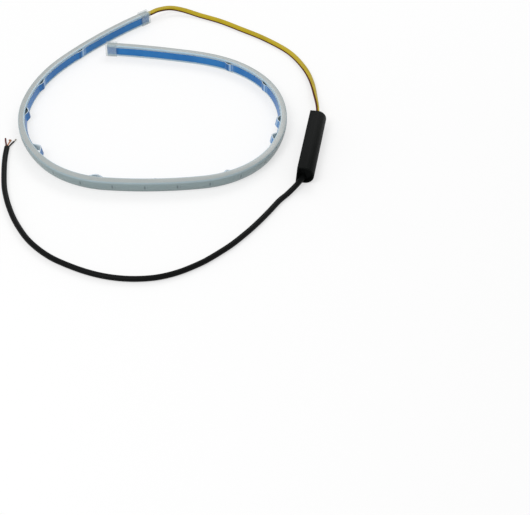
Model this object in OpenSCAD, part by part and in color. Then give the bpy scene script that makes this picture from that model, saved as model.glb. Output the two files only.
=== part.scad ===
// Flexible silicone daytime running light with its sequencing controller and leads.
// The strip stands on edge in a loose loop with its light face outward, as it lies on a table.
// Along the strip, u is measured outward from the middle of the sleeve and z upward.

/* [Strip] */
// Height of the light sleeve, which stands on its edge
sleeve_w = 8.6; // [8:0.1:10]
// Depth of the sleeve from its flat back to the crown of its light face
sleeve_t = 4.8; // [4.6:0.1:6]
// Rise of the crown over the flanks of the light face
crown_rise = 0.8; // [0.6:0.1:1.4]
// Height of the hollow that holds the lamps
channel_w = 5.4; // [5.2:0.1:5.8]
// Depth of the hollow that holds the lamps
channel_t = 2; // [1.8:0.1:2.2]
// Chamfer along the edges of the flat back
corner = 0.4; // [0.2:0.1:0.6]
// Silicone left between the hollow and the tape groove
channel_back = 0.6; // [0.5:0.1:0.8]
// Depth of the tape groove in the flat back
groove_t = 0.3; // [0.2:0.1:0.4]

// Outward lean of the strip at the front of the loop, in degrees
front_lean = 14; // [0:1:20]

/* [Tape] */
// Height of the adhesive tape and its liner
tape_w = 5.2; // [4:0.1:5.6]
// Thickness of the foam tape
tape_t = 0.5; // [0.45:0.05:0.8]
// Thickness of the release liner
liner_t = 0.15; // [0.1:0.05:0.3]

/* [Lamps] */
// Height of the flexible board
flex_w = 5; // [4:0.1:5.1]
// Thickness of the flexible board
flex_t = 0.2; // [0.1:0.05:0.3]
// Distance between lamps along the strip
led_pitch = 20.7; // [12:0.1:20.7]
// Distance of the first lamp from the lead end
first_led = 22.2; // [18:0.1:24]
// Length of a lamp
led_l = 3.5; // [2:0.1:5]
// Height of a lamp
led_w = 2.8; // [1.5:0.1:3.5]
// Depth of a lamp
led_t = 0.8; // [0.5:0.1:1]
// Diameter of the phosphor dish in a lamp
dish_d = 2.2; // [1:0.1:2.6]
// Depth of the phosphor dish
dish_depth = 0.15; // [0.1:0.05:0.3]
// Length of a soldered terminal at each end of a lamp
terminal_l = 0.4; // [0.2:0.1:0.8]

/* [End caps] */
// Length of an end cap
cap_l = 8; // [6:0.5:12]
// Side wall of an end cap
cap_wall = 0.35; // [0.3:0.05:0.8]
// End wall of an end cap
cap_end = 1.2; // [0.8:0.1:2]
// Opening in the end wall where the lead comes out, both ways
lead_slot = 3.8; // [3.8:0.1:4]
// Height of the middle of that opening over the middle of the strip
slot_rise = 1.8; // [1.6:0.1:1.9]

/* [Controller] */
// Length of the controller housing
box_l = 66; // [50:1:90]
// Width of the controller housing from its flat side to its round side
box_w = 11; // [10:0.5:16]
// Height of the controller housing, twice the radius of its round side
box_h = 12; // [11:0.5:14]
// How far the foot of the flat side stands out past its top
box_slant = 1; // [0:0.1:2]
// Wall of the housing
box_wall = 1.2; // [0.8:0.1:1.5]
// Depth at which the end plugs sit inside the housing
plug_recess = 2; // [1:0.5:4]
// Length of an end plug
plug_l = 4; // [2:0.5:6]
// Thickness of the circuit board
board_t = 1; // [0.8:0.1:1.6]
// Height of the underside of the circuit board over the table
board_z = 3.2; // [3:0.1:4]
// Diameter of the smoothing capacitor
capacitor_d = 4; // [3:0.1:5]
// Room over the smoothing capacitor
capacitor_gap = 1.15; // [0.3:0.05:2]

/* [Leads] */
// Width of the flat yellow wire of the strip lead
yellow_w = 3.6; // [2.4:0.1:3.6]
// Thickness of the flat yellow wire
yellow_t = 1.2; // [1:0.1:1.4]
// Diameter of the red and the black wire under the yellow one
thin_wire_d = 1.1; // [0.8:0.1:1.2]
// Diameter of the round supply cable
cable_d = 3.6; // [3:0.1:3.9]
// Diameter of a core at the stripped end of the cable
core_d = 1.1; // [0.8:0.1:1.3]

/* [Fits] */
// Play between an end cap and the sleeve
cap_play = 0.05; // [0.02:0.01:0.1]
// Glue line under the tape, the board and the lamps
glue = 0.05; // [0.02:0.01:0.08]
// Play round the end plugs, the circuit board and the lead openings
plug_play = 0.1; // [0.05:0.05:0.2]

/* [Hidden] */
$fn = 64;
// Each bend of the strip as its length and its left turn in degrees, from the lead end round the loop
route = [[86, 16], [58, 27.5], [72, 45.5], [50, 45], [62, 15],
         [60, 58], [57, 35.5], [75, 56.5], [18, 8], [62, 7.5]];
// Lead end of the strip and the direction in which the strip runs from it
lead_end = [-24.5, 104.8];
lead_heading = 220;
// Top corner of the flat side at the cable end of the controller, and the controller's direction
box_corner = [83.5, -95.4];
box_heading = 81.3;

// Places along the strip where tape and liner have come loose: place, length and height of each buckle
buckles = [[70, 10, 0.8], [118, 10, 1.4], [156, 11, 2], [203, 13, 3.4], [259, 13, 2.6], [298, 7, 0.9],
           [346, 7, 1.8], [400, 9, 2.6], [421, 9, 2.2], [468, 8, 1.2], [506, 7, 1.1]];

// Route of the flat lead from the lead end cap to the controller, with its roll toward the outside
lead_points = [[-25, 104.3, 6.5], [-22.4, 106.4, 6.5], [-17.2, 111.8, 6], [-8.6, 116.8, 4.6],
               [1.2, 116.4, 3], [13.8, 111, 1.7], [29.7, 102.6, 1.5], [44.4, 91.9, 1.5], [62.4, 78.1, 1.5],
               [80.1, 59.8, 1.5], [90.6, 39.2, 1.8], [95.8, 18.9, 2.8], [98.2, -4.7, 4.4], [98.9, -19, 6.2],
               [98.6, -28, 6.6], [97.5, -35.6, 6.6]];
lead_roll = [0, 0, -4, -10, -14, -15, -15, -15, -12, -4, 10, 36, 66, 82, 90, 90];

// Route of the round cable from the controller to its stripped end
cable_points = [[88.1, -90.1, 4.2], [87.3, -95.4, 4.2], [84.9, -99.8, 3.6], [81.2, -105, 2.6],
                [76.9, -110.8, 2], [72, -117.1, 1.8], [65.9, -127.6, 1.8], [59.8, -137.5, 1.8],
                [54.1, -146, 1.8], [48.2, -153.9, 1.8], [42.5, -161, 1.8], [36.4, -167.4, 1.8],
                [30.4, -173.2, 1.8], [24.3, -178.4, 1.8], [12.4, -186.2, 1.8], [0.4, -191.1, 1.8],
                [-11.5, -192.9, 1.8], [-23.5, -192.4, 1.8], [-35.9, -189.6, 1.8], [-48.6, -184.3, 1.8],
                [-62.1, -176.5, 1.8], [-69.9, -170.5, 1.8], [-76.9, -163.5, 1.8], [-82.9, -156, 1.8],
                [-88, -147.7, 1.8], [-94, -135.8, 1.8], [-99, -122.8, 1.8], [-102.3, -112, 1.8],
                [-104.9, -100.7, 1.8], [-107.2, -84, 1.8], [-108.4, -70.6, 1.8], [-108.7, -59.2, 1.8]];

// Routes of the bare cores at the stripped end
red_core_points = [[-109.3, -58.9, 1.6], [-109.8, -55, 1.3], [-110.6, -51.6, 0.9], [-111.4, -47.4, 0.6]];
copper_core_points = [[-108.5, -58.9, 2.5], [-108.1, -55.8, 2.2], [-107.6, -52.6, 1.8],
                      [-107.3, -50.4, 1.2], [-108.6, -49.4, 0.6]];
black_core_points = [[-107.9, -58.9, 1.4], [-107.1, -56, 1.2], [-106.1, -53, 0.8], [-105.2, -50.8, 0.6]];
black_tip_points = [[-105.1, -50.6, 0.6], [-104.2, -48.4, 0.6]];

// Distances from each end at which the lean starts and is full, and at which the strip meets the table
lean_from = 110;
lean_full = 200;
settle_l = 60;
// Distance between the rings of the swept layers
ring_step = 5;
buckle_rings = 8;

// Advances a pose [x, y, heading] along a left bend of length l and turn a
function bent(p, l, a) =
    let (r = l / (a * PI / 180))
    [p.x + r * (sin(p[2] + a) - sin(p[2])), p.y - r * (cos(p[2] + a) - cos(p[2])), p[2] + a];
starts = [for (i = 0, p = [lead_end.x, lead_end.y, lead_heading]; i <= len(route);
               p = i < len(route) ? bent(p, route[i][0], route[i][1]) : p, i = i + 1) p];
reaches = [for (i = 0, s = 0; i <= len(route); s = i < len(route) ? s + route[i][0] : s, i = i + 1) s];
strip_l = reaches[len(route)];
// Pose at the distance s along the strip
function pose_at(s) =
    let (i = max([for (k = [0:len(route) - 1]) if (reaches[k] <= s) k]), part = s - reaches[i])
    part > 0 ? bent(starts[i], part, route[i][1] * part / route[i][0]) : starts[i];
// Plan point at the distance s, moved outward by u
function beside(s, u) = let (p = pose_at(s)) [p.x + u * sin(p[2]), p.y - u * cos(p[2])];

// Smooth step from 0 to 1 while s goes from a to b
function eased(s, a, b) = let (x = max(0, min(1, (s - a) / (b - a)))) x * x * (3 - 2 * x);
// Outward lean of the strip, which grows along the front of the loop
function lean_at(s) =
    front_lean * eased(s, lean_from, lean_full) * (1 - eased(s, strip_l - lean_full, strip_l - lean_from));
// The end caps lift the ends of the strip by their wall, and past them it sinks to the table
function lift_at(s) = (cap_wall + cap_play) * (1 - eased(min(s, strip_l - s), cap_l, settle_l));
function height_at(s) =
    sleeve_w / 2 * cos(lean_at(s)) + (sleeve_t / 2 - crown_rise) * sin(lean_at(s)) + lift_at(s);
// Point of the section q = [u, z] at the distance s
function strip_point(s, q) =
    let (p = pose_at(s), a = lean_at(s), out = q.x * cos(a) + q.y * sin(a))
    [p.x + out * sin(p[2]) - centre.x, p.y - out * cos(p[2]) - centre.y,
     height_at(s) + q.y * cos(a) - q.x * sin(a)];
// Two triangles of a wall
function quad(a, b, c, d) = [[a, b, c], [a, c, d]];
// Stations from s1 to s2, which all the layers share between their ends
function stations(s1, s2) =
    concat([s1], [for (s = [ring_step:ring_step:strip_l]) if (s > s1 + 0.5 && s < s2 - 0.5) s], [s2]);

// Sizes that follow from the section
crown_r = (pow(sleeve_w / 2, 2) + pow(crown_rise, 2)) / (2 * crown_rise);
back_u = -sleeve_t / 2;
channel_u = back_u + groove_t + channel_back;
liner_u = back_u + groove_t - tape_t - glue;
mid_z = cap_wall + cap_play + sleeve_w / 2;
cap_half_t = sleeve_t / 2 + cap_play + cap_wall;
led_count = 1 + floor((strip_l - 2 * cap_l - first_led) / led_pitch);
round_r = box_h / 2;
bore_l = box_l - 2 * (plug_recess + plug_l);
top_z = board_z + board_t;
capacitor_h = box_h - box_wall - capacitor_gap - top_z - glue;

// The layout is moved so that the footprint of the strip and the controller is centred
function box_point(along, side) = [box_corner.x + along * cos(box_heading) - side * sin(box_heading),
                                   box_corner.y + along * sin(box_heading) + side * cos(box_heading)];
foot_points = concat([for (s = [0:0.5:strip_l]) beside(s, sleeve_t / 2)],
                     [for (s = [0, cap_l, strip_l - cap_l, strip_l]) for (u = [-1, 1])
                         beside(s, u * cap_half_t)],
                     [for (a = [0, box_l]) for (b = [box_slant, -box_w]) box_point(a, b)]);
foot_x = [for (p = foot_points) p.x];
foot_y = [for (p = foot_points) p.y];
centre = [(min(foot_x) + max(foot_x)) / 2, (min(foot_y) + max(foot_y)) / 2];

LEDS = [for (i = [1:led_count]) str("led_", i < 10 ? "0" : "", i)];

// Sweeps a section drawn with u to the right and z up round one bend, from s1 to s2
module along_bend(s1, s2) {
    p = pose_at(s1);
    i = max([for (k = [0:len(route) - 1]) if (reaches[k] <= s1 + 0.001) k]);
    turn = route[i][1] * (s2 - s1) / route[i][0];
    r = (s2 - s1) / (turn * PI / 180);
    translate([p.x - r * sin(p[2]) - centre.x, p.y + r * cos(p[2]) - centre.y, mid_z])
        rotate([0, 0, p[2] - 90]) rotate_extrude(angle = turn) translate([r, 0]) children();
}

// Puts a piece drawn with x along the strip, y inward and z up at the distance s
module on_strip(s) {
    p = pose_at(s);
    translate([p.x - centre.x, p.y - centre.y, height_at(s)]) rotate([0, 0, p[2]]) rotate([lean_at(s), 0, 0])
        children();
}

// Solid swept through the stations, with its section given for each as a loop of [u, z] points
// and, where it is hollow, the loop of the hollow; lid lists the triangles that close its start
module layer(stations, outer, lid, inner = function(s) []) {
    no = len(outer(stations[0]));
    ni = len(inner(stations[0]));
    n = no + ni;
    points = [for (s = stations) each [for (q = concat(outer(s), inner(s))) strip_point(s, q)]];
    walls = [for (j = [0:len(stations) - 2]) let (a = j * n, b = a + n)
        each concat([for (k = [0:no - 1]) each quad(a + k, a + (k + 1) % no, b + (k + 1) % no, b + k)],
                    [for (k = [0:1:ni - 1]) let (m = (k + 1) % ni)
                        each quad(a + no + m, a + no + k, b + no + k, b + no + m)])];
    far = (len(stations) - 1) * n;
    near_lid = [for (f = lid) [f[2], f[1], f[0]]];
    polyhedron(points, concat(walls, near_lid, [for (f = lid) f + [far, far, far]]));
}

// Puts a piece drawn with x along the controller, y toward its flat side and z up
module in_box() {
    translate([box_corner.x - centre.x, box_corner.y - centre.y, 0]) rotate([0, 0, box_heading]) children();
}

// Loop of a band in the section from depth u, t thick and w high
function box_loop(u, t, w) = [[u, -w / 2], [u + t, -w / 2], [u + t, w / 2], [u, w / 2]];
box_lid = [[0, 1, 2], [0, 2, 3]];

// Plain band in the section from depth u, t thick and w high
module band(u, t, w) {
    translate([u, -w / 2]) square([t, w]);
}

// Outline of the sleeve: a flat back and a crowned light face
module sleeve_outline(grow = 0) {
    intersection() {
        translate([back_u - grow, -sleeve_w / 2 - grow]) square([sleeve_t + 2 * grow, sleeve_w + 2 * grow]);
        translate([sleeve_t / 2 - crown_r, 0]) circle(r = crown_r + grow, $fn = 128);
    }
}

// Points up the crowned light face, from its lower to its upper edge
crown_steps = 8;
crown_points = [for (k = [0:crown_steps]) let (v = sleeve_w * (k / crown_steps - 0.5))
    [sleeve_t / 2 - crown_r + sqrt(crown_r * crown_r - v * v), v]];
groove_w = tape_w + 2 * plug_play;
sleeve_points = concat([[back_u + corner, -sleeve_w / 2]], crown_points, [[back_u + corner, sleeve_w / 2],
    [back_u, sleeve_w / 2 - corner], [back_u, groove_w / 2], [back_u + groove_t, groove_w / 2],
    [back_u + groove_t, -groove_w / 2], [back_u, -groove_w / 2], [back_u, corner - sleeve_w / 2]]);
channel_points = box_loop(channel_u, channel_t, channel_w);
// Triangles between the loop of the sleeve and that of its hollow
crown_mid = 1 + crown_steps / 2;
crown_top = 1 + crown_steps;
sleeve_lid =
    let (n = len(sleeve_points), low_back = n, low_front = n + 1, top_front = n + 2, top_back = n + 3)
    concat([[0, 1, low_front], [0, low_front, low_back], [crown_mid, top_front, low_front],
            [crown_top, top_back, top_front]],
           [for (k = [1:crown_mid - 1]) [k, k + 1, low_front]],
           [for (k = [crown_mid:crown_top - 1]) [k, k + 1, top_front]],
           [for (k = [crown_top:crown_top + 3]) [k, k + 1, top_back]],
           [[crown_top + 4, crown_top + 5, low_back], [crown_top + 4, low_back, top_back]],
           [for (k = [crown_top + 5:n - 1]) [k, (k + 1) % n, low_back]]);

module silicone_sleeve() {
    color([0.72, 0.78, 0.79, 0.6])
        layer(stations(cap_end + cap_play, strip_l - cap_end - cap_play),
              function(s) sleeve_points, sleeve_lid, function(s) channel_points);
}

// Boxy silicone cap over the strip between s1 and s2, with a pocket from p1 to p2
module cap_shell(s1, s2, p1, p2) {
    difference() {
        along_bend(s1, s2) band(-cap_half_t, 2 * cap_half_t, sleeve_w + 2 * (cap_wall + cap_play));
        along_bend(p1, p2) sleeve_outline(cap_play);
    }
}

module lead_end_cap() {
    color([0.74, 0.8, 0.8, 0.5]) difference() {
        cap_shell(0, cap_l, cap_end, cap_l + 1);
        on_strip(0) translate([0, 0, slot_rise]) cube([3 * cap_end, lead_slot, lead_slot], center = true);
    }
}

module blank_end_cap() {
    color([0.74, 0.8, 0.8, 0.5]) cap_shell(strip_l - cap_l, strip_l, strip_l - cap_l - 1, strip_l - cap_end);
}

module flex_board() {
    color("whitesmoke") layer(stations(cap_end + 1, strip_l - cap_end - 1),
                              function(s) box_loop(channel_u + glue, flex_t, flex_w), box_lid);
}

// Height at the distance s of a buckle b = [place, length, height], which has creased feet
function buckle_height(s, b) =
    let (x = (s - b[0]) / b[1] + 0.5)
    x > 0 && x < 1 ? b[2] * pow(sin(180 * x), 1.3) : 0;
function liner_lift(s) = max([for (b = buckles) buckle_height(s, b)]);
// Stations of the tape and the liner: flat stretches between the buckles, and close rings over each buckle
flat_starts = concat([cap_l + glue], [for (b = buckles) b[0] + b[1] / 2]);
flat_ends = concat([for (b = buckles) b[0] - b[1] / 2], [strip_l - cap_l - glue]);
liner_stations = concat([cap_l + glue], [for (i = [0:len(flat_starts) - 1]) each
    concat([for (k = [1:buckle_rings]) if (i > 0) flat_ends[i - 1] + buckles[i - 1][1] * k / buckle_rings],
           [for (s = stations(flat_starts[i], flat_ends[i])) if (s > flat_starts[i]) s])]);

module adhesive_tape() {
    color("lightsteelblue") layer(liner_stations,
        function(s) box_loop(liner_u + glue - liner_lift(s), tape_t - glue, tape_w), box_lid);
}

module release_liner() {
    color([0.16, 0.42, 0.72]) layer(liner_stations,
        function(s) box_loop(liner_u - liner_t - liner_lift(s), liner_t, tape_w), box_lid);
}

// Lamp with a phosphor dish and a soldered terminal at each end
module led(i) {
    on_strip(first_led + (i - 1) * led_pitch) translate([0, -channel_u - flex_t - 2 * glue, 0]) {
        color("ivory") difference() {
            translate([-led_l / 2, -led_t, -led_w / 2]) cube([led_l, led_t, led_w]);
            translate([0, -led_t + dish_depth, 0]) rotate([90, 0, 0]) cylinder(d = dish_d, h = 1, $fn = 32);
        }
        color("darkslategray") for (side = [-1, 1])
            translate([side * (led_l + terminal_l) / 2, -led_t / 4, 0])
                cube([terminal_l, led_t / 2, led_w * 0.7], center = true);
    }
}

// Section of the housing, drawn in by d on every side: a flat side and a half round one
module box_section(d = 0) {
    round_y = round_r - box_w;
    difference() {
        polygon([[box_slant - d, d], [d - box_w, d], [d - box_w, box_h - d], [-d, box_h - d]]);
        difference() {
            translate([-box_w - 1, -1]) square([round_r + 1, box_h + 2]);
            translate([round_y, round_r]) circle(r = round_r - d, $fn = 96);
        }
    }
}

// Extrudes a section along the controller from x1 to x2
module along_box(x1, x2) {
    in_box() translate([x1, 0, 0]) rotate([90, 0, 90]) linear_extrude(height = x2 - x1) children();
}

module controller_housing() {
    color([0.11, 0.12, 0.12]) along_box(0, box_l) difference() {
        box_section();
        box_section(box_wall);
    }
}

// Potting plug between x1 and x2 with an opening for its lead
module plug_block(x1, x2) {
    color([0.05, 0.05, 0.05]) difference() {
        along_box(x1, x2) box_section(box_wall + plug_play);
        in_box() children();
    }
}

// Places of the two leads in the end plugs, across and up
cable_at = [-3.6, 4.2];
lead_at = [-4.6, 6.6];

module cable_plug() {
    plug_block(plug_recess, plug_recess + plug_l) translate([0, cable_at.x, cable_at.y])
        rotate([0, 90, 0]) cylinder(d = cable_d + 2 * plug_play, h = box_l / 3);
}

module lead_plug() {
    plug_block(box_l - plug_recess - plug_l, box_l - plug_recess) translate([box_l - box_l / 3, 0, 0])
        translate([0, lead_at.x - lead_slot / 2, lead_at.y - lead_slot / 2])
            cube([box_l / 3 + 1, lead_slot, lead_slot]);
}

// The circuit board fills the bore between the round side and the slanted flat side
board_low = round_r - box_w - sqrt(pow(round_r - box_wall, 2) - pow(round_r - board_z, 2)) + plug_play;
board_high = box_slant * (1 - (top_z - box_wall) / (box_h - 2 * box_wall)) - box_wall - plug_play;
bore_mid = (board_low + board_high) / 2;

module circuit_board() {
    color("darkgreen") in_box() translate([plug_recess + plug_l + plug_play, board_low, board_z])
        cube([bore_l - 2 * plug_play, board_high - board_low, board_t]);
}

// Surface-mount body of size [x, y, z] at the distance x along the board
module on_board(x) {
    in_box() translate([x, bore_mid, top_z + glue]) children();
}

module microcontroller() {
    on_board(box_l * 0.42) {
        color([0.12, 0.12, 0.12]) translate([-2.5, -1.9, 0.1]) cube([5, 3.8, 1.5]);
        color("silver") for (x = [-1.9:1.27:1.95], y = [-1, 1]) translate([x - 0.2, y * 2.2 - 0.5, 0])
            cube([0.4, 1, 0.5]);
    }
}

module power_transistor(i) {
    on_board(box_l * 0.52 + i * 4.5) {
        color([0.14, 0.14, 0.14]) translate([-1.45, -0.7, 0.1]) cube([2.9, 1.4, 1]);
        color("silver") for (p = [[-0.95, -1], [0.95, -1], [0, 1]])
            translate([p.x - 0.2, p.y - 0.45, 0]) cube([0.4, 0.9, 0.4]);
    }
}

module smoothing_capacitor() {
    on_board(box_l * 0.3) {
        color("silver") cylinder(d = capacitor_d, h = capacitor_h);
        color([0.1, 0.1, 0.1]) translate([-capacitor_d / 2, -capacitor_d / 2, 0])
            cube([capacitor_d, capacitor_d, 0.8]);
    }
}

module polarity_diode() {
    on_board(box_l * 0.2) {
        color([0.14, 0.14, 0.14]) translate([-2.1, -1.3, 0.1]) cube([4.2, 2.6, 1.8]);
        color("silver") translate([-2.5, -0.75, 0]) cube([5, 1.5, 0.4]);
    }
}

function unit(v) = v / norm(v);
// Direction of a route at its point i
function heading_at(pts, i) = unit(pts[min(i + 1, len(pts) - 1)] - pts[max(i - 1, 0)]);
// Ring of n points round the point i: centre off across and up, half sizes half, rolled to the left
function ring_at(pts, i, off, half, roll, n) =
    let (t = heading_at(pts, i), s = unit(cross(t, [0, 0, 1])), b = cross(s, t),
         across = s * cos(roll) + b * sin(roll), up = b * cos(roll) - s * sin(roll))
    [for (k = [0:n - 1]) let (w = 360 * (k + 0.5) / n)
        pts[i] + across * (off.x + half.x * cos(w)) + up * (off.y + half.y * sin(w))];

// Tube swept along a route
module tube(pts, half, off = [0, 0], rolls = [], n = 8) {
    last = len(pts) - 1;
    rings = [for (i = [0:last]) each ring_at(pts, i, off, half, len(rolls) > 0 ? rolls[i] : 0, n)];
    sides = [for (i = [0:last - 1]) for (k = [0:n - 1]) let (m = (k + 1) % n)
        each quad(i * n + k, i * n + m, (i + 1) * n + m, (i + 1) * n + k)];
    polyhedron(rings, concat(sides, [[for (k = [n - 1:-1:0]) k]], [[for (k = [0:n - 1]) last * n + k]]));
}

module lead_wire_yellow() {
    color([0.72, 0.62, 0.16]) tube(lead_points, [yellow_w, yellow_t] / 2, [0, yellow_t / 2], lead_roll);
}

module lead_wire_red() {
    color([0.35, 0.05, 0.05])
        tube(lead_points, [1, 1] * thin_wire_d / 2, [(yellow_w - thin_wire_d) / 2, -thin_wire_d / 2],
             lead_roll);
}

module lead_wire_black() {
    color([0.06, 0.05, 0.05])
        tube(lead_points, [1, 1] * thin_wire_d / 2, [yellow_w / 2 - 1.5 * thin_wire_d, -thin_wire_d / 2],
             lead_roll);
}

module cable_sheath() {
    color([0.07, 0.07, 0.07]) tube(cable_points, [1, 1] * cable_d / 2);
}

module core_red() {
    color([0.3, 0.08, 0.06]) tube(red_core_points, [1, 1] * core_d / 2);
}

module core_copper() {
    color([0.62, 0.42, 0.26]) tube(copper_core_points, [1, 1] * core_d / 2);
}

module core_black() {
    color([0.08, 0.08, 0.08]) tube(black_core_points, [1, 1] * core_d / 2);
}

module core_black_tip() {
    color([0.75, 0.72, 0.68]) tube(black_tip_points, [0.35, 0.35] * core_d);
}

silicone_sleeve();
lead_end_cap();
blank_end_cap();
flex_board();
adhesive_tape();
release_liner();
for (i = [1:led_count]) led(i);
lead_wire_yellow();
lead_wire_red();
lead_wire_black();
controller_housing();
lead_plug();
cable_plug();
circuit_board();
microcontroller();
power_transistor(1);  // power_transistor_1
power_transistor(2);  // power_transistor_2
power_transistor(3);  // power_transistor_3
smoothing_capacitor();
polarity_diode();
cable_sheath();
core_red();
core_copper();
core_black();
core_black_tip();
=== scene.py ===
# %% [markdown]
# # A flexible daytime running light
# The strip is a tube of milky silicone with small lamps inside. It stands on its edge in an open
# loop, with its lit face outward and a blue release liner on its back. A flat lead joins it to a
# black controller, and a round cable with bare ends leads away from that. The CAD part is loaded
# first, as a fixed frame, and every piece below is made in metres in that same frame.

# %% The frame
import math

import bmesh
import bpy
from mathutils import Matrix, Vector


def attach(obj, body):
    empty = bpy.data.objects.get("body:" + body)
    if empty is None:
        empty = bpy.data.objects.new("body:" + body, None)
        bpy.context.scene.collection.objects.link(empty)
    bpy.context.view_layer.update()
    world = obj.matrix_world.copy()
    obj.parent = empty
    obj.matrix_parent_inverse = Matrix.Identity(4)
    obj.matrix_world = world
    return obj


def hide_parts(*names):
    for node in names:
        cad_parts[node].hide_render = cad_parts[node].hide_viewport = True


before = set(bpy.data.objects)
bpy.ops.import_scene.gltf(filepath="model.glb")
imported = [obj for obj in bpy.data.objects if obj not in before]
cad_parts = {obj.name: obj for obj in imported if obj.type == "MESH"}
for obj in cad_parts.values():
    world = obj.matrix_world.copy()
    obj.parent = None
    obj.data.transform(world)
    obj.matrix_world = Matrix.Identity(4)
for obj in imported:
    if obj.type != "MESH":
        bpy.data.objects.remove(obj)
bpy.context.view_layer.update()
MM = 0.001
print("nodes in the frame:", len(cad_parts))

# %% [markdown]
# ## Camera
# The photograph was taken from the front, looking down at 40 degrees, with a long lens. A camera
# object looks along its own -Z, so `to_track_quat` turns that axis toward the point it aims at.

# %% Camera
camera = bpy.data.objects.new("camera", bpy.data.cameras.new("camera"))
bpy.context.collection.objects.link(camera)
camera.data.sensor_width = 36
camera.data.lens = 100
camera.location = (0.063, -0.8566, 0.5753)
aim = Vector((0.063, -0.171, 0))
camera.rotation_euler = (aim - camera.location).to_track_quat("-Z", "Y").to_euler()
camera.data.clip_start = 0.01
bpy.context.scene.camera = camera
bpy.context.scene.view_settings.view_transform = "Standard"

# %% [markdown]
# ## Sizes
# This script doesn't read the CAD source, so the sizes that follow the strip are written here again, in
# millimetres. The strip is a chain of circular bends, each with its length and its left turn.

# %% Sizes of the strip and its route
SLEEVE_W, SLEEVE_T, CROWN_RISE, CORNER = 8.6, 4.8, 0.8, 0.4
GROOVE_T, TAPE_W, TAPE_T, LINER_T, GLUE = 0.3, 5.2, 0.5, 0.15, 0.05
CAP_L, CAP_WALL, CAP_END, CAP_PLAY = 8, 0.35, 1.2, 0.05
FIRST_LED, LED_PITCH, FRONT_LEAN = 22.2, 20.7, 14
ROUTE = [(86, 16), (58, 27.5), (72, 45.5), (50, 45), (62, 15),
         (60, 58), (57, 35.5), (75, 56.5), (18, 8), (62, 7.5)]
LEAD_END, LEAD_HEADING, CENTRE = (-24.5, 104.8), 220, (-0.1835, -0.0603)
STRIP_L = sum(length for length, turn in ROUTE)
BUCKLES = [(70, 10, 0.8), (118, 10, 1.4), (156, 11, 2), (203, 13, 3.4), (259, 13, 2.6), (298, 7, 0.9),
           (346, 7, 1.8), (400, 9, 2.6), (421, 9, 2.2), (468, 8, 1.2), (506, 7, 1.1)]
print("strip length, mm:", STRIP_L)


# %% The strip's place at any distance along it
def pose_at(s):
    """Plan point and heading in degrees at the distance s from the lead end."""
    x, y, heading = LEAD_END[0], LEAD_END[1], LEAD_HEADING
    for length, turn in ROUTE:
        part = min(max(s, 0), length)
        if part > 0:
            angle = turn * part / length
            radius = part / math.radians(angle)
            a, b = math.radians(heading), math.radians(heading + angle)
            x += radius * (math.sin(b) - math.sin(a))
            y -= radius * (math.cos(b) - math.cos(a))
            heading += angle
        s -= part
    return x, y, heading


def eased(s, a, b):
    x = max(0.0, min(1.0, (s - a) / (b - a)))
    return x * x * (3 - 2 * x)


def lean_at(s):
    return math.radians(FRONT_LEAN * eased(s, 110, 200) * (1 - eased(s, STRIP_L - 200, STRIP_L - 110)))


def strip_point(s, u, v):
    """Point u outward from the sleeve's middle and v up it, at the distance s, in metres."""
    x, y, heading = pose_at(s)
    h, lean = math.radians(heading), lean_at(s)
    lift = (CAP_WALL + CAP_PLAY) * (1 - eased(min(s, STRIP_L - s), CAP_L, 60))
    height = SLEEVE_W / 2 * math.cos(lean) + (SLEEVE_T / 2 - CROWN_RISE) * math.sin(lean) + lift
    out = u * math.cos(lean) + v * math.sin(lean)
    return Vector((x + out * math.sin(h) - CENTRE[0], y - out * math.cos(h) - CENTRE[1],
                   height + v * math.cos(lean) - u * math.sin(lean))) * MM


print("blank end at:", [round(c, 4) for c in strip_point(STRIP_L, 0, 0)])

# %% [markdown]
# ## Finishes from Python expressions
# A material is a graph of nodes. Written out node by node it is long and hard to read, so a small
# class wraps a socket and turns Python's operators into Math nodes. `1 - mask` then reads as it
# would on paper.


# %% A socket with operators
class Value:
    """One output of a node, which adds Math nodes when it is used in an expression."""

    def __init__(self, finish, socket):
        self.finish, self.socket = finish, socket

    def maths(self, operation, *values):
        return self.finish.node("Math", {"operation": operation}, *values)

    def __add__(self, other):
        return self.maths("ADD", self, other)

    def __sub__(self, other):
        return self.maths("SUBTRACT", self, other)

    def __rsub__(self, other):
        return self.maths("SUBTRACT", other, self)

    def __mul__(self, other):
        return self.maths("MULTIPLY", self, other)

    def __truediv__(self, other):
        return self.maths("DIVIDE", self, other)

    def __abs__(self):
        return self.maths("ABSOLUTE", self)

    __radd__, __rmul__ = __add__, __mul__

    def fraction(self):
        return self.maths("FRACT", self)

    def at_least(self, other):
        return self.maths("MAXIMUM", self, other)

    def ramp(self, start, end):
        """0 below start and 1 above end, eased between them; start may be the larger."""
        return self.finish.node("MapRange", {"interpolation_type": "SMOOTHSTEP"}, self, start, end, 0, 1)


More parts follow.
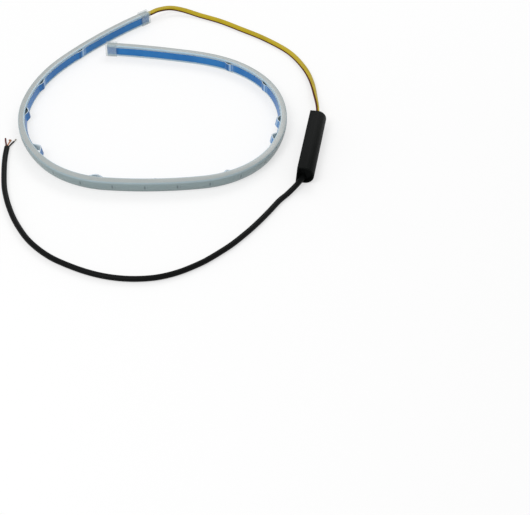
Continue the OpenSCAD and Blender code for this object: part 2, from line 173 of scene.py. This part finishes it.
class Finish:
    """A material with one Principled surface; the values given are the same all over it."""

    def __init__(self, name, **constants):
        self.material = bpy.data.materials.new(name)
        self.material.use_nodes = True
        self.tree = self.material.node_tree
        self.surface = self.tree.nodes["Principled BSDF"]
        for socket, value in constants.items():
            self.surface.inputs[socket.replace("_", " ")].default_value = value
        self.material.diffuse_color = self.surface.inputs["Base Color"].default_value

    def node(self, kind, settings, *values, out=0):
        """Adds one node: its settings first, then the values or links of its sockets in order."""
        node = self.tree.nodes.new("ShaderNode" + kind)
        for key, value in settings.items():
            setattr(node, key, value)
        usable = [socket for socket in node.inputs if socket.enabled]
        for socket, value in zip(usable, values):
            if isinstance(value, Value):
                self.tree.links.new(value.socket, socket)
            elif value is not None:
                socket.default_value = value
        usable = [socket for socket in node.outputs if socket.enabled]
        return Value(self, usable[out])

    def place(self):
        return self.node("TexCoord", {}, out=3)

    def attribute(self, name):
        return self.node("Attribute", {"attribute_name": name}, out=2)

    def noise(self, scale, detail=3):
        return self.node("TexNoise", {}, self.place(), scale, detail)

    def blend(self, mask, first, second):
        """first where the mask is 0 and second where it is 1, for colours."""
        return self.node("Mix", {"data_type": "RGBA"}, mask, first, second)

    def feed(self, socket, value):
        self.tree.links.new(value.socket, self.surface.inputs[socket])

    def bump(self, height, strength, distance):
        node = self.tree.nodes.new("ShaderNodeBump")
        node.inputs["Strength"].default_value = strength
        node.inputs["Distance"].default_value = distance
        self.tree.links.new(height.socket, node.inputs["Height"])
        self.tree.links.new(node.outputs["Normal"], self.surface.inputs["Normal"])


def colour(red, green, blue):
    """A colour as a screen shows it, from 0 to 255, in the linear values that nodes use."""
    linear = [c / 255 / 12.92 if c <= 10 else ((c / 255 + 0.055) / 1.055) ** 2.4
              for c in (red, green, blue)]
    return (*linear, 1)


def finish_piece(piece, finish):
    piece.data.materials.clear()
    piece.data.materials.append(finish.material)


# %% [markdown]
# ## Cords
# The flat lead and the round cable are lengths of something flexible that lies on the table. Each
# follows the same points as its CAD solid. A smooth line through the points comes first, then a
# ring is placed at each of its samples, square to the line and rolled as the flat lead lies.


# %% A smooth line through points
def smooth_line(points, samples=6):
    """Catmull-Rom line through the points; each may carry more numbers, which are smoothed too."""
    line = []
    for i in range(len(points) - 1):
        a, b, c, d = (points[max(i - 1, 0)], points[i], points[i + 1], points[min(i + 2, len(points) - 1)])
        for k in range(samples):
            t = k / samples
            line.append([0.5 * (2 * q + (r - p) * t + (2 * p - 5 * q + 4 * r - w) * t * t
                                + (3 * q - 3 * r + w - p) * t ** 3)
                         for p, q, r, w in zip(a, b, c, d)])
    return line + [list(points[-1])]


# %% Rings into a skin
def skin(name, rings, values, around):
    """A closed skin over rings of points: values holds what each ring carries, around each point."""
    mesh = bpy.data.meshes.new(name)
    n, last = len(rings[0]), len(rings) - 1
    faces = [(i * n + k, i * n + (k + 1) % n, (i + 1) * n + (k + 1) % n, (i + 1) * n + k)
             for i in range(last) for k in range(n)]
    faces += [tuple(range(n)), tuple(last * n + k for k in range(n))]
    mesh.from_pydata([tuple(p) for ring in rings for p in ring], [], faces)
    for attribute, numbers in (("along", [v for v in values for k in range(n)]),
                               ("across", [a for v in values for a in around])):
        mesh.attributes.new(attribute, "FLOAT", "POINT").data.foreach_set("value", numbers)
    form = bmesh.new()
    form.from_mesh(mesh)
    bmesh.ops.recalc_face_normals(form, faces=form.faces)
    for face in form.faces:
        face.smooth = len(face.verts) == 4
    form.to_mesh(mesh)
    form.free()
    piece = bpy.data.objects.new(name, mesh)
    bpy.context.collection.objects.link(piece)
    return piece


def frame_at(line, i):
    """The two directions across the line at point i, rolled as it says, and the point before."""
    before, after = Vector(line[max(i - 1, 0)][:3]), Vector(line[min(i + 1, len(line) - 1)][:3])
    ahead = (after - before).normalized()
    side = ahead.cross(Vector((0, 0, 1))).normalized()
    top = side.cross(ahead)
    roll = math.radians(line[i][3]) if len(line[i]) > 3 else 0
    across = side * math.cos(roll) + top * math.sin(roll)
    return across, top * math.cos(roll) - side * math.sin(roll), before


def tube(name, line, section):
    """A skin along the line, whose points are x, y, z and roll in degrees; section is its outline."""
    rings, walked, along = [], 0, []
    for i, point in enumerate(line):
        across, up, before = frame_at(line, i)
        rings.append([(Vector(point[:3]) + across * a + up * b) * MM for a, b in section])
        walked += (Vector(point[:3]) - before).length
        along.append(walked)
    angles = [k / len(section) for k in range(len(section))]
    return skin(name, rings, along, angles)


def oval(half_w, half_h, off=(0, 0), n=20, square=1.0):
    """Outline of an oval; square below 1 flattens its sides."""
    def bent(c):
        return math.copysign(abs(c) ** square, c)
    return [(off[0] + half_w * bent(math.cos(w)), off[1] + half_h * bent(math.sin(w)))
            for w in (2 * math.pi * (k + 0.5) / n for k in range(n))]


def shifted(line, section_off):
    """The middle line of a tube whose outline is off to one side of its route."""
    path = []
    for i, point in enumerate(line):
        across, up, before = frame_at(line, i)
        path.append((Vector(point[:3]) + across * section_off[0] + up * section_off[1]) * MM)
    return path


# %% [markdown]
# ### Insulation
# Wire insulation is extruded vinyl: satin, with small changes of tone where it has been handled.
# A coarse noise changes the tone, and a fine one the roughness and the surface.


# %% Finishes of the cords
def insulation(name, tone, deep, roughness, sheen=0.0):
    finish = Finish(name, Base_Color=tone, Roughness=roughness, Specular_IOR_Level=0.1, Coat_Weight=sheen)
    cloud = finish.noise(90, 4)
    fine = finish.noise(900, 2)
    finish.feed("Base Color", finish.blend(cloud.ramp(0.35, 0.8) * 0.6, tone, deep))
    finish.feed("Roughness", fine * 0.14 + (roughness - 0.07))
    finish.bump(fine, 0.12, 0.0002)
    return finish


yellow_vinyl = insulation("yellow_vinyl", colour(182, 160, 34), colour(160, 138, 26), 0.42)
red_vinyl = insulation("red_vinyl", colour(88, 26, 22), colour(58, 18, 16), 0.4)
black_vinyl = insulation("black_vinyl", colour(20, 18, 18), colour(12, 11, 11), 0.45)
cable_jacket = insulation("cable_jacket", colour(9, 11, 11), colour(5, 6, 6), 0.5)

# %% [markdown]
# ### The flat lead
# Three wires leave the cap side by side: a wide yellow one on top of a thin red and a thin black
# one. Near the controller the flat lead turns on its edge and goes into the end plug.

# %% The flat lead
LEAD = [(-25, 104.3, 6.5), (-22.4, 106.4, 6.5), (-17.2, 111.8, 6), (-8.6, 116.8, 4.6),
        (1.2, 116.4, 3), (13.8, 111, 1.7), (29.7, 102.6, 1.5), (44.4, 91.9, 1.5), (62.4, 78.1, 1.5),
        (80.1, 59.8, 1.5), (90.6, 39.2, 1.8), (95.8, 18.9, 2.8), (98.2, -4.7, 4.4), (98.9, -19, 6.2),
        (98.6, -28, 6.6), (97.5, -35.6, 6.6)]
LEAD_ROLL = [0, 0, -4, -10, -14, -15, -15, -15, -12, -4, 10, 36, 66, 82, 90, 90]
YELLOW_W, YELLOW_T, THIN_D = 3.6, 1.2, 1.1
lead_line = smooth_line([(*point, roll) for point, roll in zip(LEAD, LEAD_ROLL)])
for name, node, half, off, finish, slot in (
        ("yellow_flat_wire", "lead_wire_yellow", (YELLOW_W / 2, YELLOW_T / 2),
         (0, YELLOW_T / 2), yellow_vinyl, "yellow_insulation"),
        ("red_thin_wire", "lead_wire_red", (THIN_D / 2, THIN_D / 2),
         ((YELLOW_W - THIN_D) / 2, -THIN_D / 2), red_vinyl, "red_insulation"),
        ("black_thin_wire", "lead_wire_black", (THIN_D / 2, THIN_D / 2),
         (YELLOW_W / 2 - 1.5 * THIN_D, -THIN_D / 2), black_vinyl, "black_insulation")):
    wire = tube(name, lead_line, oval(*half, off, square=0.8 if half[0] > half[1] else 1.0))
    finish_piece(wire, finish)
    path = shifted(lead_line, off)
    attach(wire, "root")
    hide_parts(node)
    length = sum((b - a).length for a, b in zip(path, path[1:]))
    2 * half[0] * MM
    print(name, "length, m:", round(length, 3))

# %% [markdown]
# ### The round cable
# The supply cable leaves the controller straight, drops to the table and swings round in front of
# the loop. Its three cores come out of the cut end: a red one, a bare copper one and a black one
# with a tinned tip.

# %% The round cable and its cores
CABLE = [(88.1, -90.1, 4.2), (87.3, -95.4, 4.2), (84.9, -99.8, 3.6), (81.2, -105, 2.6),
         (76.9, -110.8, 2), (72, -117.1, 1.8), (65.9, -127.6, 1.8), (59.8, -137.5, 1.8),
         (54.1, -146, 1.8), (48.2, -153.9, 1.8), (42.5, -161, 1.8), (36.4, -167.4, 1.8),
         (30.4, -173.2, 1.8), (24.3, -178.4, 1.8), (12.4, -186.2, 1.8), (0.4, -191.1, 1.8),
         (-11.5, -192.9, 1.8), (-23.5, -192.4, 1.8), (-35.9, -189.6, 1.8), (-48.6, -184.3, 1.8),
         (-62.1, -176.5, 1.8), (-69.9, -170.5, 1.8), (-76.9, -163.5, 1.8), (-82.9, -156, 1.8),
         (-88, -147.7, 1.8), (-94, -135.8, 1.8), (-99, -122.8, 1.8), (-102.3, -112, 1.8),
         (-104.9, -100.7, 1.8), (-107.2, -84, 1.8), (-108.4, -70.6, 1.8), (-108.7, -59.2, 1.8)]
CABLE_D, CORE_D = 3.6, 1.1
RED_CORE = [(-109.3, -58.9, 1.6), (-109.8, -55, 1.3), (-110.6, -51.6, 0.9), (-111.4, -47.4, 0.6)]
BLACK_CORE = [(-107.9, -58.9, 1.4), (-107.1, -56, 1.2), (-106.1, -53, 0.8), (-105.2, -50.8, 0.6)]
BLACK_TIP = [(-105.1, -50.6, 0.6), (-104.2, -48.4, 0.6)]
COPPER_CORE = [(-108.5, -58.9, 2.5), (-108.1, -55.8, 2.2), (-107.6, -52.6, 1.8), (-107.3, -50.4, 1.2),
               (-108.6, -49.4, 0.6)]
cable_line = smooth_line(CABLE)
cable = tube("supply_cable", cable_line, oval(CABLE_D / 2, CABLE_D / 2, n=28))
finish_piece(cable, cable_jacket)
for name, node, points, finish, slot in (
        ("red_core", "core_red", RED_CORE, red_vinyl, "red_insulation"),
        ("black_core", "core_black", BLACK_CORE, black_vinyl, "black_insulation")):
    core = tube(name, smooth_line(points), oval(CORE_D / 2, CORE_D / 2, n=16))
    finish_piece(core, finish)
    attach(core, "root")
    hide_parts(node)

# %% [markdown]
# ### Bare strands
# A stripped core is a twist of fine strands. Each strand follows its own twisted copy of the core's
# line, and a Geometry Nodes tree sweeps a small circle along all of those curves at once.


# %% Strands by Geometry Nodes
def strand_tree():
    """Sweeps a thin round wire along each curve that it is given."""
    tree = bpy.data.node_groups.new("strands", "GeometryNodeTree")
    face = tree.interface
    face.new_socket("Geometry", in_out="INPUT", socket_type="NodeSocketGeometry")
    face.new_socket("Strand Radius", in_out="INPUT", socket_type="NodeSocketFloat")
    face.new_socket("Material", in_out="INPUT", socket_type="NodeSocketMaterial")
    face.new_socket("Geometry", in_out="OUTPUT", socket_type="NodeSocketGeometry")
    nodes, link = tree.nodes, tree.links.new
    start, end = nodes.new("NodeGroupInput"), nodes.new("NodeGroupOutput")
    circle, sweep = nodes.new("GeometryNodeCurvePrimitiveCircle"), nodes.new("GeometryNodeCurveToMesh")
    circle.inputs["Resolution"].default_value = 8
    sweep.inputs["Fill Caps"].default_value = True
    real, paint = nodes.new("GeometryNodeRealizeInstances"), nodes.new("GeometryNodeSetMaterial")
    link(start.outputs["Strand Radius"], circle.inputs["Radius"])
    link(start.outputs["Geometry"], sweep.inputs["Curve"])
    link(circle.outputs["Curve"], sweep.inputs["Profile Curve"])
    link(sweep.outputs["Mesh"], real.inputs["Geometry"])
    link(real.outputs["Geometry"], paint.inputs["Geometry"])
    link(start.outputs["Material"], paint.inputs["Material"])
    link(paint.outputs["Geometry"], end.inputs["Geometry"])
    return tree


STRANDS = strand_tree()
STRAND_COUNT, STRAND_RING, STRAND_D, STRAND_TURNS = 7, 0.33, 0.36, 0.8


def strands(name, points, count, radius, strand_d, turns, finish):
    """Twists count strands round the line through the points."""
    line = smooth_line(points, 10)
    data = bpy.data.curves.new(name, "CURVE")
    data.dimensions = "3D"
    for j in range(count):
        reach = 0 if j == 0 else radius
        path = []
        for i in range(len(line)):
            w = 2 * math.pi * (j / max(count - 1, 1) + turns * i / len(line))
            spread = 1 + 0.5 * (i / len(line)) ** 3
            off = reach * spread * math.cos(w), reach * spread * math.sin(w)
            path.append(shifted(line, off)[i])
        spline = data.splines.new("POLY")
        spline.points.add(len(path) - 1)
        spline.points.foreach_set("co", [c for p in path for c in (*p, 1)])
    holder = bpy.data.objects.new(name + "_lines", data)
    bpy.context.collection.objects.link(holder)
    modifier = holder.modifiers.new("strands", "NODES")
    modifier.node_group = STRANDS
    for item in STRANDS.interface.items_tree:
        if item.name == "Strand Radius":
            modifier[item.identifier] = strand_d / 2 * MM
        if item.name == "Material":
            modifier[item.identifier] = finish.material
    evaluated = holder.evaluated_get(bpy.context.evaluated_depsgraph_get())
    mesh = bpy.data.meshes.new_from_object(evaluated)
    mesh.name = name
    for polygon in mesh.polygons:
        polygon.use_smooth = True
    bpy.data.objects.remove(holder)
    piece = bpy.data.objects.new(name, mesh)
    bpy.context.collection.objects.link(piece)
    print(name, "triangles:", sum(len(p.vertices) - 2 for p in mesh.polygons))
    return piece


def bare_metal(name, tone, deep):
    finish = Finish(name, Base_Color=tone, Roughness=0.34, Metallic=0.9)
    finish.feed("Base Color", finish.blend(finish.noise(1400, 2).ramp(0.35, 0.7), tone, deep))
    return finish


copper = bare_metal("bare_copper", colour(206, 150, 112), colour(150, 98, 66))
tin = bare_metal("tinned_wire", colour(214, 208, 198), colour(170, 164, 156))
for name, node, points, finish, slot in (
        ("copper_strands", "core_copper", COPPER_CORE, copper, "copper_strands"),
        ("tinned_tip", "core_black_tip", BLACK_TIP, tin, "tinned_strands")):
    twist = strands(name, points, STRAND_COUNT, STRAND_RING, STRAND_D, STRAND_TURNS, finish)
    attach(twist, "root")
    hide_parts(node)
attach(cable, "root")
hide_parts("cable_sheath")
[[c * MM for c in p] for p in cable_line]

# %% [markdown]
# ## The silicone sleeve
# The sleeve is one extrusion: a flat back with a groove for the tape, and a crowned face that the
# lamps shine through. Its outline is swept along the strip in close steps, so that the bends are
# smooth. The lamps are seen through the milky silicone as narrow shadows of their soldered ends.


# %% The sleeve's outline and sweep
def sleeve_outline(steps=16):
    """Points (u, v) round the sleeve, from its lower side over the crown to the back."""
    crown_r = ((SLEEVE_W / 2) ** 2 + CROWN_RISE ** 2) / (2 * CROWN_RISE)
    back, half, groove = -SLEEVE_T / 2, SLEEVE_W / 2, TAPE_W / 2 + 0.1
    crown = []
    for k in range(steps + 1):
        v = SLEEVE_W * (k / steps - 0.5)
        crown.append((SLEEVE_T / 2 - crown_r + math.sqrt(crown_r ** 2 - v * v), v))
    edge_u = crown[0][0]
    soft = 0.35
    crown[0] = (edge_u - soft * 0.1, -half + soft * 0.35)
    crown[-1] = (edge_u - soft * 0.1, half - soft * 0.35)
    lower = [(back + CORNER, -half), (edge_u - soft, -half)]
    upper = [(edge_u - soft, half), (back + CORNER, half)]
    rear = [(back + 0.1, half - 0.12), (back, half - CORNER), (back, groove),
            (back + GROOVE_T, groove), (back + GROOVE_T, -groove),
            (back, -groove), (back, CORNER - half), (back + 0.1, 0.12 - half)]
    return lower + crown + upper + rear


outline = sleeve_outline()
first, last = CAP_END + CAP_PLAY, STRIP_L - CAP_END - CAP_PLAY
STEPS = 480
stations = [first + (last - first) * k / STEPS for k in range(STEPS + 1)]
rings = [[strip_point(s, u, v) for u, v in outline] for s in stations]
sleeve = skin("milky_sleeve", rings, stations, [v / SLEEVE_W + 0.5 for u, v in outline])
depths = [u / SLEEVE_T + 0.5 for u, v in outline] * len(stations)
sleeve.data.attributes.new("depth", "FLOAT", "POINT").data.foreach_set("value", depths)

# %% The milky silicone
milky = Finish("milky_silicone", Base_Color=colour(160, 172, 172), Roughness=0.36,
               Subsurface_Weight=0.2, Subsurface_Scale=0.002, Subsurface_Radius=(0.7, 0.9, 1),
               Specular_IOR_Level=0.35)
along, height, depth = (milky.attribute(name) for name in ("along", "across", "depth"))
cloud = milky.noise(60, 3)
body = milky.blend(cloud.ramp(0.3, 0.75) * 0.5, colour(172, 177, 176), colour(160, 168, 167))
# painted shade: the crowned outer face is darker than the top and the back
body = milky.blend(depth.ramp(0.7, 0.85), body, colour(140, 156, 158))
body = milky.blend(depth.ramp(0.14, 0.04), body, colour(178, 200, 212))
# painted highlight: a pale line along the top edge of the crowned face
body = milky.blend(height.ramp(0.84, 0.92) * depth.ramp(0.72, 0.84) * 0.6, body, colour(170, 188, 196))
# painted shade: the lower part of the face and the lower side are darker
body = milky.blend(height.ramp(0.3, 0.02) * depth.ramp(0.5, 0.8) * 0.5, body, colour(110, 128, 126))
from_end = STRIP_L / 2 - abs(along - STRIP_L / 2)
taped = abs(height - 0.5).ramp(0.35, 0.3) * depth.ramp(0.3, 0.15) * from_end.ramp(CAP_L + 0.6, CAP_L)
body = milky.blend(taped, body, colour(58, 132, 200))
place = ((along - FIRST_LED + LED_PITCH / 2) / LED_PITCH).fraction() * LED_PITCH - LED_PITCH / 2
seen = abs(height - 0.54).ramp(0.26, 0.08) * depth.ramp(0.6, 0.85)
main_mark = abs(place).ramp(0.85, 0.1)
faint_mark = abs(place - 1.8).ramp(0.6, 0.1) * 0.25
body = milky.blend(main_mark.at_least(faint_mark) * seen * 0.6, body, colour(72, 84, 88))
milky.feed("Base Color", body)
grain = milky.noise(700, 3)
milky.feed("Roughness", grain * 0.16 + 0.24)
milky.bump(grain, 0.08, 0.0002)
finish_piece(sleeve, milky)
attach(sleeve, "root")
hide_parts("silicone_sleeve")

# %% [markdown]
# ## The release liner
# The liner is a stiff blue film. Where the strip was bent it has come loose from the tape in small
# buckles, each with sharp feet and a fold. A painted highlight makes the fold and the feet pale.
# Its rings are close together over each buckle.


# %% The liner
def liner_lift(s):
    lift = 0.0
    for place, length, height in BUCKLES:
        x = (s - place) / length + 0.5
        if 0 < x < 1:
            lift = max(lift, height * math.sin(math.pi * x) ** 1.3)
    return lift


def fold_highlight_at(s):
    """Painted highlight on the film at s: pale at the fold and, fainter, at the foot of each buckle."""
    pale = 0.0
    for place, length, height in BUCKLES:
        x = (s - place) / length + 0.5
        fold, foot = math.exp(-((x - 0.28) / 0.12) ** 2), 0.5 * math.exp(-((x - 0.02) / 0.08) ** 2)
        pale = max(pale, fold, foot)
    return pale


def shade_at(s):
    """How dark the film is at s, at its cut ends and at the first flank of each buckle."""
    edge = math.exp(-((min(s, STRIP_L - s) - CAP_L) / 0.5) ** 2)
    return max(edge, *(math.exp(-(((s - place) / length - 0.12) / 0.1) ** 2)
                       for place, length, height in BUCKLES))


liner_u = -SLEEVE_T / 2 + GROOVE_T - TAPE_T - GLUE
ends = (CAP_L + GLUE, STRIP_L - CAP_L - GLUE)
LINER_STEPS, BUCKLE_STEPS = 240, 24
places = [ends[0] + (ends[1] - ends[0]) * k / LINER_STEPS for k in range(LINER_STEPS + 1)]
for place, length, height in BUCKLES:
    places += [place + length * (k / BUCKLE_STEPS - 0.5) for k in range(BUCKLE_STEPS + 1)]
places = sorted(set(round(s, 3) for s in places))
band = [(liner_u - LINER_T, -TAPE_W / 2), (liner_u, -TAPE_W / 2), (liner_u, TAPE_W / 2),
        (liner_u - LINER_T, TAPE_W / 2)]
rings = [[strip_point(s, u - liner_lift(s), v) for u, v in band] for s in places]
liner = skin("blue_liner", rings, places, [v / TAPE_W + 0.5 for u, v in band])
foam_band = [(liner_u + GLUE, -TAPE_W / 2), (liner_u + TAPE_T, -TAPE_W / 2),
             (liner_u + TAPE_T, TAPE_W / 2), (liner_u + GLUE, TAPE_W / 2)]
rings = [[strip_point(s, u - liner_lift(s), v) for u, v in foam_band] for s in places]
foam = skin("foam_tape", rings, places, [v / TAPE_W + 0.5 for u, v in foam_band])
for polygon in (*liner.data.polygons, *foam.data.polygons):
    polygon.use_smooth = False
for attribute, rule in (("crease", fold_highlight_at), ("shade", shade_at)):
    numbers = [rule(s) for s in places for k in band]
    liner.data.attributes.new(attribute, "FLOAT", "POINT").data.foreach_set("value", numbers)

# %% The blue film
film = Finish("blue_film",
              Base_Color=colour(24, 106, 174), Roughness=0.38, Specular_IOR_Level=0.3)
cloud = film.noise(70, 3)
blue = film.blend(cloud.ramp(0.3, 0.75) * 0.6, colour(20, 104, 172), colour(44, 124, 188))
blue = film.blend(film.attribute("shade") * 0.6, blue, colour(14, 62, 112))
# painted highlight: the film is pale at each buckle's fold and feet
blue = film.blend(film.attribute("crease") * 0.75, blue, colour(178, 206, 228))
film.feed("Base Color", blue)
film.feed("Roughness", cloud * 0.2 + 0.22)
film.bump(film.noise(220, 2), 0.15, 0.0004)
finish_piece(liner, film)
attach(liner, "root")
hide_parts("release_liner")
print("liner rings:", len(places))


# %% [markdown]
# ## Moulded pieces
# The caps, the housing and its plugs are moulded, so every outer edge has a small radius. The CAD
# mesh is loose triangles: a copy is merged, its flat faces are joined, and a Bevel modifier rounds
# the edges that are left.


# %% Softened copies of CAD pieces
def softened(node, name, width, finish, angle=35):
    """A merged copy of a CAD piece with rounded edges, which stands for it."""
    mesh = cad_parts[node].data.copy()
    mesh.name = name
    form = bmesh.new()
    form.from_mesh(mesh)
    bmesh.ops.remove_doubles(form, verts=form.verts, dist=1e-6)
    bmesh.ops.dissolve_limit(form, angle_limit=math.radians(1), verts=form.verts, edges=form.edges)
    bmesh.ops.recalc_face_normals(form, faces=form.faces)
    form.to_mesh(mesh)
    form.free()
    piece = bpy.data.objects.new(name, mesh)
    bpy.context.collection.objects.link(piece)
    bevel = piece.modifiers.new("edge", "BEVEL")
    bevel.width, bevel.segments, bevel.limit_method = width * MM, 3, "ANGLE"
    bevel.angle_limit = math.radians(angle)
    bevel.harden_normals = True
    for polygon in mesh.polygons:
        polygon.use_smooth = True
    finish_piece(piece, finish)
    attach(piece, "root")
    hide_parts(node)
    return piece


def moulded(name, tone, worn, roughness, grain_scale, grain_depth):
    """Moulded plastic or rubber: an even tone with a fine grain and slightly worn patches."""
    finish = Finish(name, Base_Color=tone, Roughness=roughness, Specular_IOR_Level=0.45)
    patch, grain = finish.noise(45, 4), finish.noise(grain_scale, 3)
    finish.feed("Base Color", finish.blend(patch.ramp(0.45, 0.8), tone, worn))
    finish.feed("Roughness", grain * 0.2 + (roughness - 0.1))
    finish.bump(grain, grain_depth, 0.0003)
    return finish


housing_plastic = moulded("housing_plastic", colour(7, 10, 9), colour(12, 15, 14), 0.55, 1600, 0.12)
potting = moulded("potting", colour(6, 8, 8), colour(11, 13, 13), 0.6, 500, 0.2)
cap_silicone = moulded("cap_silicone", colour(188, 200, 202), colour(200, 210, 212), 0.32, 900, 0.06)
cap_silicone.surface.inputs["Alpha"].default_value = 0.24
for plastic in (housing_plastic, potting):
    plastic.surface.inputs["Specular IOR Level"].default_value = 0.06
softened("controller_housing", "housing_shell", 0.35, housing_plastic, 40)
for node, name in (("lead_plug", "lead_end_potting"), ("cable_plug", "cable_end_potting")):
    softened(node, name, 0.15, potting, 50)
for node, name in (("lead_end_cap", "lead_cap"), ("blank_end_cap", "blank_cap")):
    softened(node, name, 0.45, cap_silicone, 50)

# %% The foam tape's finish
foam_finish = moulded("foam_adhesive", colour(222, 232, 236), colour(208, 220, 226), 0.7, 1500, 0.3)
finish_piece(foam, foam_finish)
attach(foam, "root")
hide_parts("adhesive_tape")

# %% [markdown]
# ## What lies inside
# The lamps, their board and the controller's parts are sealed in. Their CAD solids have the right
# shape already and only need a finish each.

# %% Finishes of the inner pieces
inner = {
    "flex_board": moulded("white_solder_mask", colour(226, 226, 220), colour(216, 214, 206), 0.45, 900, 0.05),
    "circuit_board": moulded("green_solder_mask", colour(28, 84, 52), colour(36, 98, 60), 0.35, 700, 0.05),
    "microcontroller": moulded("chip_epoxy", colour(34, 34, 36), colour(44, 44, 46), 0.55, 2000, 0.2),
    "smoothing_capacitor": bare_metal("capacitor_can", colour(214, 214, 214), colour(196, 196, 198)),
}
for name in ("power_transistor_1", "power_transistor_2", "power_transistor_3", "polarity_diode"):
    inner[name] = inner["microcontroller"]
phosphor = moulded("lamp_phosphor", colour(236, 220, 140), colour(240, 232, 200), 0.4, 1500, 0.1)
for name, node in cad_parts.items():
    if name in inner or name.startswith("led_"):
        finish_piece(node, inner.get(name, phosphor))

# %% [markdown]
# ## Floor and light
# The object lies on a plain white floor. The world gives an even, soft light, and two large lamps
# give the silicone and the cable their soft highlights. The floor shows white to the camera and in
# reflections, and keeps a soft shadow under the object.

# %% Floor
floor_mesh = bpy.data.meshes.new("floor")
reach = 4.0
floor_mesh.from_pydata([(-reach, -reach, 0), (reach, -reach, 0), (reach, reach, 0), (-reach, reach, 0)], [],
                       [(0, 1, 2, 3)])
floor = bpy.data.objects.new("floor", floor_mesh)
bpy.context.collection.objects.link(floor)
floor.location.z = -0.0002
paper = Finish("white_paper", Base_Color=(0.92, 0.92, 0.92, 1), Roughness=0.9)
light_path = paper.tree.nodes.new("ShaderNodeLightPath")
glow, mix = paper.tree.nodes.new("ShaderNodeEmission"), paper.tree.nodes.new("ShaderNodeMixShader")
glow.inputs["Strength"].default_value = 1.0
camera_ray = Value(paper, light_path.outputs["Is Camera Ray"])
glossy_ray = Value(paper, light_path.outputs["Is Glossy Ray"])
paper.tree.links.new((camera_ray.at_least(glossy_ray) * 0.6).socket, mix.inputs[0])
paper.tree.links.new(paper.surface.outputs[0], mix.inputs[1])
paper.tree.links.new(glow.outputs[0], mix.inputs[2])
output = next(node for node in paper.tree.nodes if node.type == "OUTPUT_MATERIAL")
paper.tree.links.new(mix.outputs[0], output.inputs["Surface"])
finish_piece(floor, paper)

# %% World and lamps
world = bpy.data.worlds.new("studio")
bpy.context.scene.world = world
world.use_nodes = True
world.node_tree.nodes["Background"].inputs["Color"].default_value = (1, 1, 1, 1)
world.node_tree.nodes["Background"].inputs["Strength"].default_value = 0.62


def lamp(name, location, size, power):
    data = bpy.data.lights.new(name, "AREA")
    data.shape, data.size, data.size_y, data.energy = "RECTANGLE", size[0], size[1], power
    light = bpy.data.objects.new(name, data)
    bpy.context.collection.objects.link(light)
    light.location = location
    light.rotation_euler = (Vector((0, 0, 0)) - light.location).to_track_quat("-Z", "Y").to_euler()
    return light


lamp("key", (-0.5, -0.7, 1.1), (0.7, 0.7), 7)
lamp("back", (0.3, 0.9, 0.9), (0.9, 0.5), 5)
